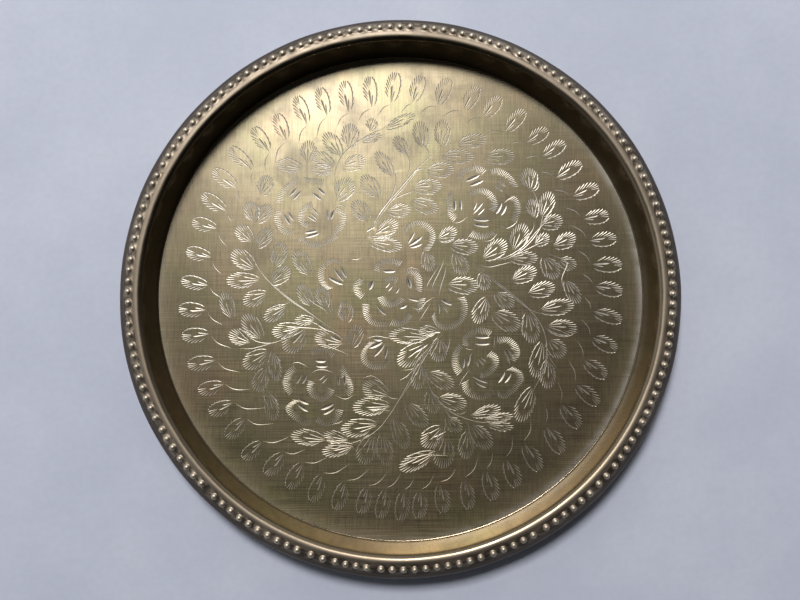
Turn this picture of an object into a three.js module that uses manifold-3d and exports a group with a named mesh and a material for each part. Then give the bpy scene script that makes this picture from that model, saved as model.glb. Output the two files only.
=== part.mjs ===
// A round brass serving tray, spun from one sheet and chased on its floor.
// Two pieces: the pan, whose edge is rolled down round a wire, and the wire inside that roll.
// Millimetres, +Z up. The origin is the centre of the underside, where the tray rests.
import * as THREE from "three";
import { mergeGeometries, mergeVertices } from "three/addons/utils/BufferGeometryUtils.js";
import Module from "manifold-3d";

// Overall sizes
const RIM_RADIUS = 150; // to the outermost point of the rolled edge
const TRAY_HEIGHT = 21; // rest plane to the top of the ridge above the wall
const SHEET = 1.0; // sheet thickness

// The wall, and the bends at its foot and at its top, measured on the middle of the sheet
const WALL_ANGLE = 81.5; // degrees from horizontal
const FLOOR_FILLET = 2.2;
const RIDGE_FILLET = 1.6;

// The flange slopes down outwards from the ridge in one convex sweep
const FLANGE_WIDTH = 12.5; // top of the ridge to the outermost point, measured level
const FLANGE_START = 5; // degrees below level where the ridge's bend hands over to the sweep
const FLANGE_END = 55; // degrees below level where the sweep hands over to the roll

// The wire, and the roll that holds it
const WIRE_DIAMETER = 3.0;
const WIRE_CLEARANCE = 0.3; // free space all round the wire
const WIRE_BUTT_GAP = 1.0; // between the wire's two ends
const ROLL_TURN = 265; // degrees that the sheet goes round the wire

// Punched beads, in one row along the flange
const BEAD_DIAMETER = 3.4;
const BEAD_HEIGHT = 1.3; // above the flange's upper face
const BEAD_FROM_RIDGE = 4.8; // top of the ridge to the bead circle, measured level
const SMALL_BEAD_SHARE = 0.7; // size of the beads that are squeezed in where the row closes
const BEAD_ROOT = 0.6; // depth that a bead's foot goes into the sheet
const BEAD_MARGIN = 0.3; // plain flange kept on both sides of the row

// The row was punched by eye, so it is runs of even beads with a wider gap after each run:
// [angle of the first bead, angle of the last bead, number of beads, share of the full size]
const BEAD_RUNS = [
  [-39.1, 38.4, 37, 1],
  [40.2, 42.5, 3, SMALL_BEAD_SHARE],
  [44.6, 63.5, 10, 1],
  [66.3, 84.8, 10, 1],
  [87.9, 129.3, 20, 1],
  [131.9, 151.7, 10, 1],
  [154.3, 156.3, 2, 1],
  [159.3, 207.2, 22, 1],
  [210.0, 214.3, 3, 1],
  [217.1, 223.9, 4, 1],
  [227.7, 248.2, 10, 1],
  [251.2, 253.8, 2, 1],
  [256.4, 263.0, 4, 1],
  [266.0, 286.8, 10, 1],
  [289.5, 298.6, 5, 1],
  [301.7, 313.2, 6, 1],
  [315.9, 318.2, 2, 1],
];

// Facets
const ROUND_SEGMENTS = 64; // round the tray
const WIRE_SIDES = 8;
const BEAD_SIDES = 5;

const rad = THREE.MathUtils.degToRad;

// Sizes that follow from the ones above
const ROLL_BEND = WIRE_DIAMETER / 2 + WIRE_CLEARANCE + SHEET / 2;
const ROLL_CENTRE_R = RIM_RADIUS - ROLL_BEND - SHEET / 2;
const RIDGE_R = RIM_RADIUS - FLANGE_WIDTH;
const RIDGE_Z = TRAY_HEIGHT - SHEET / 2;
const FLANGE_START_R = RIDGE_R + RIDGE_FILLET * Math.sin(rad(FLANGE_START));
const FLANGE_END_R = ROLL_CENTRE_R + ROLL_BEND * Math.sin(rad(FLANGE_END));
const FLANGE_BEND = (FLANGE_END_R - FLANGE_START_R) / (Math.sin(rad(FLANGE_END)) - Math.sin(rad(FLANGE_START)));

// A bend of the sheet's middle line: its centre, its radius, and a function giving points on it.
// The angle is the sheet's slope in degrees, positive where it climbs outwards.
function bend(centreR, centreZ, radius, side) {
  return {
    centreR,
    centreZ,
    at(slope) {
      const a = rad(slope);
      return {
        r: centreR - side * radius * Math.sin(a),
        z: centreZ + side * radius * Math.cos(a),
        slope,
      };
    },
  };
}

const CONVEX = 1; // the bend's centre lies below the sheet
const CONCAVE = -1; // the bend's centre lies above the sheet

const ridgeBend = bend(RIDGE_R, RIDGE_Z - RIDGE_FILLET, RIDGE_FILLET, CONVEX);
const flangeStart = ridgeBend.at(-FLANGE_START);
const flangeBend = bend(
  flangeStart.r - FLANGE_BEND * Math.sin(rad(FLANGE_START)),
  flangeStart.z - FLANGE_BEND * Math.cos(rad(FLANGE_START)),
  FLANGE_BEND,
  CONVEX,
);
const flangeEnd = flangeBend.at(-FLANGE_END);
const ROLL_CENTRE_Z = flangeEnd.z - ROLL_BEND * Math.cos(rad(FLANGE_END));
const rollBend = bend(ROLL_CENTRE_R, ROLL_CENTRE_Z, ROLL_BEND, CONVEX);
const wallTop = ridgeBend.at(WALL_ANGLE);
const WALL_FOOT_Z = SHEET / 2 + FLOOR_FILLET * (1 - Math.cos(rad(WALL_ANGLE)));
const WALL_FOOT_R = wallTop.r - (wallTop.z - WALL_FOOT_Z) / Math.tan(rad(WALL_ANGLE));
const FLOOR_R = WALL_FOOT_R - FLOOR_FILLET * Math.sin(rad(WALL_ANGLE));
const floorBend = bend(FLOOR_R, SHEET / 2 + FLOOR_FILLET, FLOOR_FILLET, CONCAVE);

// Points along a bend between two slopes, the first one left out because the sheet is already there.
function sweep(theBend, fromSlope, toSlope, steps) {
  const points = [];
  for (let i = 1; i <= steps; i += 1) {
    points.push(theBend.at(fromSlope + ((toSlope - fromSlope) * i) / steps));
  }
  return points;
}

// How far below level the flange slopes, in degrees, at a level distance outwards from the bead circle.
function slopeFromBeads(distance) {
  const run = RIDGE_R + BEAD_FROM_RIDGE + distance - flangeBend.centreR;
  return THREE.MathUtils.radToDeg(Math.asin(run / (FLANGE_BEND + SHEET / 2)));
}

// The sheet's middle line, from the tray's axis to the tucked end of the roll.
// The bead row stands on one facet of the flange, whose edges pass just clear of the beads.
function middleLine() {
  const insideBeads = slopeFromBeads(-BEAD_DIAMETER / 2 - BEAD_MARGIN);
  const outsideBeads = slopeFromBeads(BEAD_DIAMETER / 2 + BEAD_MARGIN);
  return [
    { r: 0, z: SHEET / 2, slope: 0 },
    { r: FLOOR_R, z: SHEET / 2, slope: 0 },
    ...sweep(floorBend, 0, WALL_ANGLE, 3),
    ridgeBend.at(WALL_ANGLE),
    ...sweep(ridgeBend, WALL_ANGLE, -FLANGE_START, 4),
    ...sweep(flangeBend, -FLANGE_START, -insideBeads, 1),
    ...sweep(flangeBend, -insideBeads, -outsideBeads, 1),
    ...sweep(flangeBend, -outsideBeads, -FLANGE_END, 2),
    ...sweep(rollBend, -FLANGE_END, -FLANGE_END - ROLL_TURN, 8),
  ];
}

// The middle line moved half a sheet towards its upper face (side 1) or its lower face (side -1).
function face(side) {
  return middleLine().map(({ r, z, slope }) => {
    const half = (side * SHEET) / 2;
    return new THREE.Vector2(r - half * Math.sin(rad(slope)), z + half * Math.cos(rad(slope)));
  });
}

// A closed geometry as a solid, and a solid as a geometry with flat faces.
const wasm = await Module();
wasm.setup();

function solid(geometry) {
  const bare = geometry.clone();
  bare.deleteAttribute("normal");
  bare.deleteAttribute("uv");
  const merged = mergeVertices(bare, 1e-4);
  return new wasm.Manifold(
    new wasm.Mesh({
      numProp: 3,
      vertProperties: merged.attributes.position.array,
      triVerts: new Uint32Array(merged.index.array),
    }),
  );
}

function geometryOf(manifold) {
  const mesh = manifold.getMesh();
  const geometry = new THREE.BufferGeometry();
  geometry.setAttribute("position", new THREE.BufferAttribute(mesh.vertProperties, 3));
  geometry.setIndex(new THREE.BufferAttribute(mesh.triVerts, 1));
  const flat = geometry.toNonIndexed();
  flat.computeVertexNormals();
  return flat;
}

// LatheGeometry turns a profile about +Y, so this lays it over to turn about +Z.
function turned(profile, segments) {
  return new THREE.LatheGeometry(profile, segments).rotateX(Math.PI / 2);
}

function sheetBody() {
  return turned([...face(-1), ...face(1).reverse()], ROUND_SEGMENTS);
}

// One bead at the origin, standing along +Z on the flange's upper face.
function beadDome(share) {
  const radius = (share * BEAD_DIAMETER) / 2;
  const height = share * BEAD_HEIGHT;
  const profile = [
    new THREE.Vector2(0, -BEAD_ROOT),
    new THREE.Vector2(radius, -BEAD_ROOT),
    new THREE.Vector2(0.74 * radius, 0.6 * height),
    new THREE.Vector2(0, height),
  ];
  return turned(profile, BEAD_SIDES);
}

function beadAt(angle, share) {
  const tilt = rad(slopeFromBeads(0));
  const beadZ = flangeBend.centreZ + (FLANGE_BEND + SHEET / 2) * Math.cos(tilt);
  return beadDome(share)
    .rotateY(tilt)
    .translate(RIDGE_R + BEAD_FROM_RIDGE, 0, beadZ)
    .rotateZ(rad(angle));
}

function beadRow() {
  const beads = [];
  for (const [first, last, count, share] of BEAD_RUNS) {
    for (let i = 0; i < count; i += 1) {
      beads.push(beadAt(first + ((last - first) * i) / (count - 1), share));
    }
  }
  return mergeGeometries(beads);
}

function trayPan() {
  return geometryOf(solid(sheetBody()).add(solid(beadRow())));
}

// The circle that the wire lies along, from one end to the other.
class WireCircle extends THREE.Curve {
  getPoint(t, target = new THREE.Vector3()) {
    const gap = WIRE_BUTT_GAP / ROLL_CENTRE_R;
    const angle = gap / 2 + t * (2 * Math.PI - gap);
    return target.set(ROLL_CENTRE_R * Math.cos(angle), ROLL_CENTRE_R * Math.sin(angle), ROLL_CENTRE_Z);
  }
}

function rimWire() {
  const section = new THREE.Shape();
  for (let i = 0; i < WIRE_SIDES; i += 1) {
    const a = (2 * Math.PI * i) / WIRE_SIDES;
    const x = (WIRE_DIAMETER / 2) * Math.cos(a);
    const y = (WIRE_DIAMETER / 2) * Math.sin(a);
    if (i === 0) section.moveTo(x, y);
    else section.lineTo(x, y);
  }
  section.closePath();
  return new THREE.ExtrudeGeometry(section, { extrudePath: new WireCircle(), steps: ROUND_SEGMENTS });
}

const agedBrass = new THREE.MeshStandardMaterial({ color: 0xa8946c, roughness: 0.38, metalness: 1 });
const wireBrass = new THREE.MeshStandardMaterial({ color: 0x8d7a52, roughness: 0.45, metalness: 1 });

function named(name, geometry, material) {
  const mesh = new THREE.Mesh(geometry, material);
  mesh.name = name;
  return mesh;
}

const tray = new THREE.Group();
tray.add(named("tray_pan", trayPan(), agedBrass));
tray.add(named("rim_wire", rimWire(), wireBrass));

export default tray;
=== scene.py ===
"""A round brass serving tray: a spun pan with a chased floor, a beaded flange and a wired edge.

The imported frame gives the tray's size and place. Lengths are in millimetres until a mesh is written.
The floor's pattern is real geometry: every chisel stroke is a small V-shaped cut in the floor's mesh.
"""

import math
import random

import bmesh
import bpy
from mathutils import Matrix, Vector
from mathutils.geometry import delaunay_2d_cdt


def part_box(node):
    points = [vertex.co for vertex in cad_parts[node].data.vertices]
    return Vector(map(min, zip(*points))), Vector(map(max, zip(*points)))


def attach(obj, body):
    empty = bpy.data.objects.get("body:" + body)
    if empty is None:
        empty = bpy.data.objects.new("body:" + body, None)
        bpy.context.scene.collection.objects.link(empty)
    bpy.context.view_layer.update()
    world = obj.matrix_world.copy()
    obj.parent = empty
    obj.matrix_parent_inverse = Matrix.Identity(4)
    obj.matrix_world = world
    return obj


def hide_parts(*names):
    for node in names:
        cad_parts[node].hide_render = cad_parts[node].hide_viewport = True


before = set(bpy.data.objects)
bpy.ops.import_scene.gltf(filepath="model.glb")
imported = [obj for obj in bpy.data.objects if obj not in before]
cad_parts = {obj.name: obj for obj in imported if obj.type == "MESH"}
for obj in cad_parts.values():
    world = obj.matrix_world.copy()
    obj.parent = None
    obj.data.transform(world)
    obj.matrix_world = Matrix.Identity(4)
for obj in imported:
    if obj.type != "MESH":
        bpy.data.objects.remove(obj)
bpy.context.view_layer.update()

MM = 0.001  # one millimetre in metres

# ---- Sizes ----
# The rim's radius and the wire come from the frame; the rest are the sheet's own bends.

PAN_LOW, PAN_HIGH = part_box("tray_pan")
WIRE_LOW, WIRE_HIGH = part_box("rim_wire")

RIM_R = (PAN_HIGH[0] - PAN_LOW[0]) / 2 / MM
WIRE_D = (WIRE_HIGH[2] - WIRE_LOW[2]) / MM
ROLL_Z = (WIRE_HIGH[2] + WIRE_LOW[2]) / 2 / MM
ROLL_R = (WIRE_HIGH[0] - WIRE_LOW[0]) / 2 / MM - WIRE_D / 2

SHEET = 1.0  # sheet thickness
RIDGE_TOP = 21.0  # rest plane to the top of the ridge
WALL_ANGLE = 81.5  # degrees from level
FLOOR_FILLET = 1.2  # bends are measured on the middle of the sheet
RIDGE_FILLET = 3.2
FLANGE_WIDTH = 10.2  # top of the ridge to the outermost point
FLANGE_START = 5.0  # degrees below level at the two ends of the flange's sweep
FLANGE_END = 55.0
ROLL_TURN = 265.0  # degrees that the sheet goes round the wire

DISH_START_R = 121.0  # the floor's margin lifts very slightly from here to the wall
DISH_LIFT = 0.45
DISH_RINGS = (122.5, 125.5, 128.5)  # extra rings of vertices that carry the lift

COLUMNS = 360  # facets round the tray

BEAD_D = 3.7
BEAD_H = 1.6
BEAD_FROM_RIDGE = 3.9
SMALL_BEAD = 0.72
# The row was punched by eye: [first angle, last angle, number of beads, share of the full size]
BEAD_RUNS = [
    [-39.1, 38.4, 37, 1],
    [40.2, 42.5, 3, SMALL_BEAD],
    [44.6, 63.5, 10, 1],
    [66.3, 84.8, 10, 1],
    [87.9, 129.3, 20, 1],
    [131.9, 151.7, 10, 1],
    [154.3, 156.3, 2, 1],
    [159.3, 207.2, 22, 1],
    [210.0, 214.3, 3, 1],
    [217.1, 223.9, 4, 1],
    [227.7, 248.2, 10, 1],
    [251.2, 253.8, 2, 1],
    [256.4, 263.0, 4, 1],
    [266.0, 286.8, 10, 1],
    [289.5, 298.6, 5, 1],
    [301.7, 313.2, 6, 1],
    [315.9, 318.2, 2, 1],
]
SEAM_ANGLE = -40.5  # the bead band's mesh closes on itself here, between two beads

CUT_SLOPE = 0.27  # depth of a cut over half its width
DEEP_CUT = 0.8  # half a cut's width where its middle is darkest
STROKE_W = 0.72
STEM_W = 0.62
RING_STEM_W = 0.6
OUTLINE_W = 0.6
COMB_W = 0.62
COMB_LENGTH = 4.8
COMB_PITCH = 1.15
LEAF_PITCH = 1.3  # between neighbouring strokes of a leaf, square to them
LEAF_STROKE = (5.0, 6.4)  # the shortest and longest stroke of a full leaf
FULL_LEAF = 13.5  # a shorter leaf has shorter strokes in proportion
LEAF_SIDE_W = 0.85
LEAF_BELLY = 0.60  # where a leaf is widest, as a share of its length
LEAF_LEAN = 30  # degrees between a ring leaf's axis and the strokes at its side
CUT_EDGE_ANGLE = 10  # an edge of the floor is drawn crisp over this many degrees
SHEET_EDGE_ANGLE = 50

# ---- The chased pattern, in millimetres on the floor, +X right and +Y away from the viewer ----
# A leaf is (x, y) of its base, (x, y) of its tip, and its width.

# The ring of leaves round the floor, each with the far end of its own curved stem.
RING_LEAVES = [
    [-5.5, 107, -3, 126, 8.5, -13, 100],
    [-16, 104.5, -18, 123.5, 8, -24, 97],
    [-29, 102, -32, 121, 8, -36, 93],
    [-41, 100, -46, 117, 8, -47, 87],
    [-52, 95, -59, 112, 8, -57, 84],
    [-63.5, 86, -70, 102, 8, -70, 72],
    [-73, 79.5, -83, 94, 8, -75, 67],
    [-82, 69, -96, 82.5, 8, -82, 60],
    [-90, 58.5, -105, 70, 8, -88, 50],
    [-96, 46, -111, 56, 8, -93, 40],
    [-101, 36.5, -116, 41, 8, -95, 25.5],
    [-104, 20.5, -119, 24.5, 8, -98, 10.5],
    [-105.5, 5, -121.5, 8, 8, -98, -2],
    [-106.5, -8.5, -122.5, -8, 8.5, -97, -17],
    [-104.5, -21.5, -120.5, -23, 8.5, -92.4, -29.6],
    [-101, -36, -117, -39, 8.5, -87.5, -42.6],
    [-96, -49, -111, -53, 8, -81.7, -52],
    [-91, -59, -105, -65, 8, -74, -62],
    [-84.5, -67.5, -95, -78.5, 8.5, -69, -70.5],
    [-75, -80, -86, -90, 8, -59, -77],
    [-63, -86, -73.5, -98.5, 9, -51, -84],
    [-52.5, -91, -61, -106, 9, -39.5, -88.4],
    [-42, -97, -48, -113, 8.5, -27, -91.7],
    [-29.5, -101, -35, -117.5, 8.5, -16, -94],
    [-17.5, -104, -21.5, -119.5, 8, -6.2, -95.6],
    [-7.5, -105, -11, -122, 8, 1, -96],
    [2, -106, 0.5, -123, 8.5, 8, -98.5],
    [11, -106, 10.5, -122, 8.5, 19, -96],
    [21.5, -102, 24, -119, 8.5, 31, -93],
    [35, -99.5, 38, -117, 8, 43, -85.5],
    [46.5, -95, 51.5, -112, 9, 50.3, -83.5],
    [57.5, -88.5, 64, -105, 9, 61, -75.4],
    [67, -80, 76.5, -96, 9, 71, -64.6],
    [79, -71, 89, -86.5, 9, 78, -57.5],
    [87.5, -59, 98.5, -72.5, 9, 85.3, -45.8],
    [95.5, -48.5, 109, -60, 8.5, 91, -34],
    [100, -35.5, 113.5, -45, 8.5, 95.6, -23.3],
    [104.5, -23, 119.5, -30, 8.5, 97.8, -11.7],
    [105, -8.5, 122.5, -14, 8, 100, 0],
    [106.5, 5, 123, 2, 8.5, 99.2, 12.5],
    [105, 17, 123, 17, 9, 96.5, 25.5],
    [104, 30, 120, 32, 8.5, 91, 40],
    [101, 42, 116, 45, 8.5, 89, 49.3],
    [95, 54.5, 110.5, 61, 8.5, 83.5, 58.8],
    [86, 65, 101, 74.5, 8, 76, 69],
    [78.5, 77, 92, 86, 8, 68, 76],
    [70, 85, 82.5, 93.5, 8, 60, 84],
    [58, 91, 69.5, 104.5, 8, 47, 90],
    [46, 99, 56, 112, 8, 35.5, 95.6],
    [35, 103, 43.5, 118, 8, 22.4, 99.2],
    [20.5, 106, 27, 122.5, 8.5, 10.3, 101.2],
    [6.5, 107.5, 12, 124, 8.5, 0, 101.4],
]

# Leaves of the sprays inside the ring, by quarter of the floor.
SPRAY_LEAVES = [
    # far left
    [-9, 93, 8.5, 101.5, 6],
    [-29, 81.5, -27.5, 96.5, 10],
    [-33, 77, -42.5, 91, 9],
    [-52, 73, -51, 87, 9],
    [-54, 70, -69.5, 74, 8],
    [-36.5, 71, -49.5, 79.5, 8],
    [-37, 69, -50, 70.5, 7],
    [-33, 71.5, -19, 76, 9],
    [-17, 91.5, -15.5, 99.5, 6.5],
    [-22, 86, -10, 89.5, 5],
    [4, 78, -3.5, 89, 7],
    [-4, 65, -13.5, 80.5, 7.5],
    [-11.5, 53.5, -21.5, 67, 9],
    [-18, 40, -26, 53, 9],
    [-36, 52.5, -27, 65, 11],
    [-81, 39.5, -84, 52.5, 9],
    [-80, 40, -72, 50.5, 8],
    [-78, 55, -73, 67, 9],
    [-82, 29, -91, 38.5, 9],
    [-80, 26, -71.5, 37, 8],
    [-80, 14, -93.5, 24.5, 10],
    [-77, 8, -96.5, 8, 9],
    [-70, 15, -65, 29.5, 9],
    [-72, 6, -61, 15.5, 9],
    [-50, 10, -58.5, 25, 9],
    [-49, -7, -56, 6.5, 8],
    [-41, -8, -45, 5.5, 8],
    [-14, 34, -1, 41, 9],
    [-18, 30, 1.5, 26.5, 8],
    [-8, 47, 6, 47.5, 8],
    # far right
    [13, 81, 10, 98, 9],
    [22.5, 82, 24, 99, 9],
    [31, 84.5, 48.5, 88, 8],
    [46, 77, 64.5, 78, 9],
    [22, 78, 41.5, 77, 8],
    [14, 70, 30.5, 70, 9],
    [6, 60, 23.5, 61, 9],
    [5, 53, 21.5, 47, 9],
    [20, 31, 31.5, 36.5, 8],
    [27, 28, 43.5, 26, 9],
    [45, 20, 59, 30, 10],
    [62, 24, 69, 40, 10],
    [78, 43, 83.5, 58, 9],
    [74, 42, 72.5, 54, 7],
    [72, 58, 71, 71.5, 10],
    [77, 39, 90.5, 42, 9],
    [84, 27, 97.5, 33, 9],
    [74, 28, 82.5, 33.5, 7],
    [87, 20, 97.5, 15.5, 8],
    [79, 22, 86.5, 8.5, 10],
    [60, 20.5, 76.5, 20.5, 8],
    [61, 8, 75.5, 14.5, 9],
    [70, 1, 85.5, 5, 9],
    [91, 9, 98.5, -5, 8],
    [30, 24, 36, 10.5, 9],
    [45, 13, 47, 2, 8],
    [25, 6, 43.5, 5, 10],
    [14, 25, 16.5, 12.5, 8],
    # near left
    [-73, 1, -87, -4.5, 9],
    [-92.5, -14, -98, 2, 8],
    [-76, -25, -86.5, -10.5, 10],
    [-82, -26.5, -94.5, -20.5, 9],
    [-62, -6, -75.5, -14, 8],
    [-72, -31, -86.5, -39.5, 10],
    [-73.5, -40, -79, -53.5, 9],
    [-70, -30, -67.5, -48, 7],
    [-72.5, -52, -68.5, -69, 8],
    [-51, -18.5, -64, -31, 12],
    [-54, -18, -71, -21, 9],
    [-47, -14, -58.5, -14, 6],
    [-31, -27, -47.5, -22.5, 10],
    [-30, -16, -31, -3, 9],
    [-27, -29.5, -23.5, -15.5, 9],
    [-6, -55.5, -21, -49, 11],
    [-5, -61, -26.5, -61.5, 10],
    [-12, -71, -33, -74, 10],
    [-40, -79.5, -60, -76.5, 9],
    [-28, -79.5, -42.5, -76, 7],
    [-25, -82.5, -43, -86, 8],
    [-15, -76, -21, -92.5, 11],
    [-10, -75, -7, -93.5, 9],
    # near right
    [14, -27, -1.5, -38.5, 11],
    [17, -23.5, -7, -22, 9],
    [21, -20.5, 9.5, -19.5, 6.5],
    [22, -23, 20.5, -37.5, 10],
    [14.5, -42, 29.5, -50.5, 9],
    [12, -37, 8.5, -52.5, 8],
    [20, -56, 36.5, -60.5, 9],
    [16, -52, 19, -65.5, 9],
    [38, -66, 55, -61.5, 6.5],
    [45, -68, 62, -66, 5],
    [47, -70.5, 62, -72.5, 5.5],
    [25, -66, 33, -75, 8],
    [38, -70, 49.5, -84, 10],
    [37, -74, 35, -90, 9],
    [25, -76, 22.5, -95, 12],
    [23, -72, 12, -83, 11],
    [19, -86, -1, -95, 9],
    [-4, -66, 3.5, -84.5, 9],
    [3, -58, 14.5, -72.5, 9],
    [73, -50, 64, -69.5, 10],
    [76, -8.5, 96, -5, 9],
    [80, -17, 97.5, -18.5, 9],
    [80.5, -24, 90.5, -34, 10],
    [70, -9, 73, -27, 10],
    [78.5, -25, 73.5, -46, 10],
    [81, -35, 80.5, -52, 9],
    [50, -9, 66, -18.5, 11],
    [52, 2, 62.5, -7, 9],
    [48, -1, 41, -16, 9],
]

# Stems, as points that a smooth line passes through.
STEMS = [
    [
        (-36, 50), (-35.5, 60), (-36.5, 68), (-33, 77), (-28, 82.5),
        (-17, 90), (-10, 93), (-4, 98), (2, 101),
    ],
    [(-27, 23), (-20, 31), (-14, 41), (-8, 50), (0, 59.5), (10, 71), (20, 80), (27, 84.5), (38, 87)],
    [(-20, 30.5), (-16, 36.5), (-11.5, 45.5), (-5.4, 54), (-2.7, 62), (-3, 68), (-8, 78)],
    [(-24, 26), (-17, 34), (-12, 42.5), (-6, 51), (1, 59), (9, 68.5), (18, 77)],
    [(-20, 31), (-15, 32.5), (-8, 32), (-2, 33.5)],
    [(-20, 31), (-10, 31.2), (1, 28)],
    [(0, 60), (4, 66), (5.5, 73.5), (3.5, 79), (0, 84.5)],
    [(-6, 52), (2, 56), (9, 58)],
    [(5, 63), (10, 70), (20, 70.3)],
    [(14.5, 75), (16, 80), (13, 84), (11, 90)],
    [(-52, 62), (-52, 73), (-51, 81)],
    [(-35.5, 52), (-33, 56), (-31, 60)],
    [
        (-28, -24), (-40, -17), (-50, -10), (-60, -3.5), (-66, 1.5),
        (-72, 7), (-77.5, 13.5), (-81, 20), (-82, 30), (-82, 40),
    ],
    [(-40, -17), (-51, -9), (-61, -2), (-68, 4), (-74, 10)],
    [(-37, -14), (-42, -8), (-47, -5), (-55, 1)],
    [(-36.5, -15), (-40, -5), (-44, 2)],
    [(-36, -14), (-38, -5), (-38, 1)],
    [(-35, -14), (-33, -6), (-31, 0)],
    [(-39, -20), (-46, -16), (-52, -14)],
    [(-35, -21), (-47, -18.5), (-58, -18), (-68, -20)],
    [(-60, -3.5), (-68, -7), (-75, -9)],
    [(-57, -20), (-66, -25), (-72, -26.5), (-79, -25.5), (-85, -21.5), (-90, -17)],
    [(-66, -25), (-74, -27.5), (-82, -29.5), (-89, -29.5)],
    [(-69, -25.5), (-71, -32), (-73.5, -40), (-73.3, -50), (-70, -58.5)],
    [(-73, -46), (-75, -54), (-72, -62), (-71, -68)],
    [(-69, -52), (-67.5, -57), (-66, -62)],
    [(44, 20), (55, 20), (63, 23.5), (70, 29), (76, 36), (83, 42.5), (88, 44)],
    [(55, 20), (67, 24), (78, 29), (88, 30)],
    [(52, 19), (60, 20.5), (70, 27.5), (77, 36.5), (79, 44), (83, 52)],
    [(71.8, 61), (75.4, 54), (77, 43)],
    [(68, 49), (72, 43)],
    [(73.5, 43), (74, 38), (71, 33), (66, 28), (64, 25)],
    [(76, 25), (84, 22), (92, 18), (89, 9), (91, 1), (94, -4)],
    [
        (30, 25), (40, 18), (50, 10), (62, 0), (70, -7), (77, -16),
        (80, -25), (80, -33), (78.5, -41), (74, -50), (68, -59.5),
    ],
    [(34, 21), (43, 14), (53, 6.5), (65, -3.5), (73, -9), (80, -10.5), (88, -10.5)],
    [(41, 18), (48, 15.5), (56, 17), (64, 19)],
    [(20, -3), (17.5, 4), (21, 12), (24, 19), (25, 24)],
    [(21, -4), (22, 4), (24.5, 12), (25.5, 20)],
    [(19, -2), (14.5, 4), (18, 11), (22, 17)],
    [(77, -15), (83, -21), (91, -23), (98, -20)],
    [(80, -31), (84, -38), (87, -42)],
    [(67, -6), (67.5, -14), (66.5, -20), (68, -25)],
    [
        (23, -20), (17, -27), (11, -37), (6, -45), (0, -56), (-6, -65.5),
        (-12, -73), (-20, -78.5), (-30, -81.5), (-39, -80.3), (-46, -78),
    ],
    [(24, -20.5), (18.5, -27), (13, -35), (8, -44), (2.5, -53), (-3, -61)],
    [(22, -19), (12, -25), (3, -27), (-3, -25)],
    [(15, -30), (14, -38), (15, -48), (19, -55.5), (26, -63), (34, -67), (45, -69.7), (62, -69.5)],
    [(16, -33), (14.5, -44), (17, -53), (24, -60.5), (30, -65), (35, -64.5), (37, -61)],
    [(17, -28), (9, -36), (7, -40.5), (0, -41.5)],
    [(8, -40), (3, -45), (-1, -47)],
    [(26.5, -20.5), (27, -26), (25, -32), (24, -35)],
    [(-3, -60), (-4, -68), (-2.5, -76), (2, -82)],
    [(-5, -64), (-10, -62.5), (-16, -62)],
    [(-1, -57), (-5, -56.5), (-10, -53)],
    [(24.5, -62), (24.5, -70), (23, -78), (23, -88)],
    [(26, -64), (28, -68.5), (30, -73)],
    [(25, -75), (28, -82), (30, -90)],
    [(20, -85), (12, -87.5), (2, -90)],
    [(28, -88), (14, -87), (5, -86)],
    [(34, -67), (37, -71), (37, -78)],
    [(39, -69), (44, -75), (49, -80)],
    [(-30, -81.5), (-34, -83.5), (-40, -84)],
    [(-13, -74), (-15, -82), (-13, -90)],
    [(31, 31), (25, 29), (20, 30)],
    [(3, -5), (10, -8), (14, -4), (19, -1)],
    [(10, -15), (13, -10), (17, -4)],
    [(-28, 20), (-24, 19.6), (-21, 20.5)],
]

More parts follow.
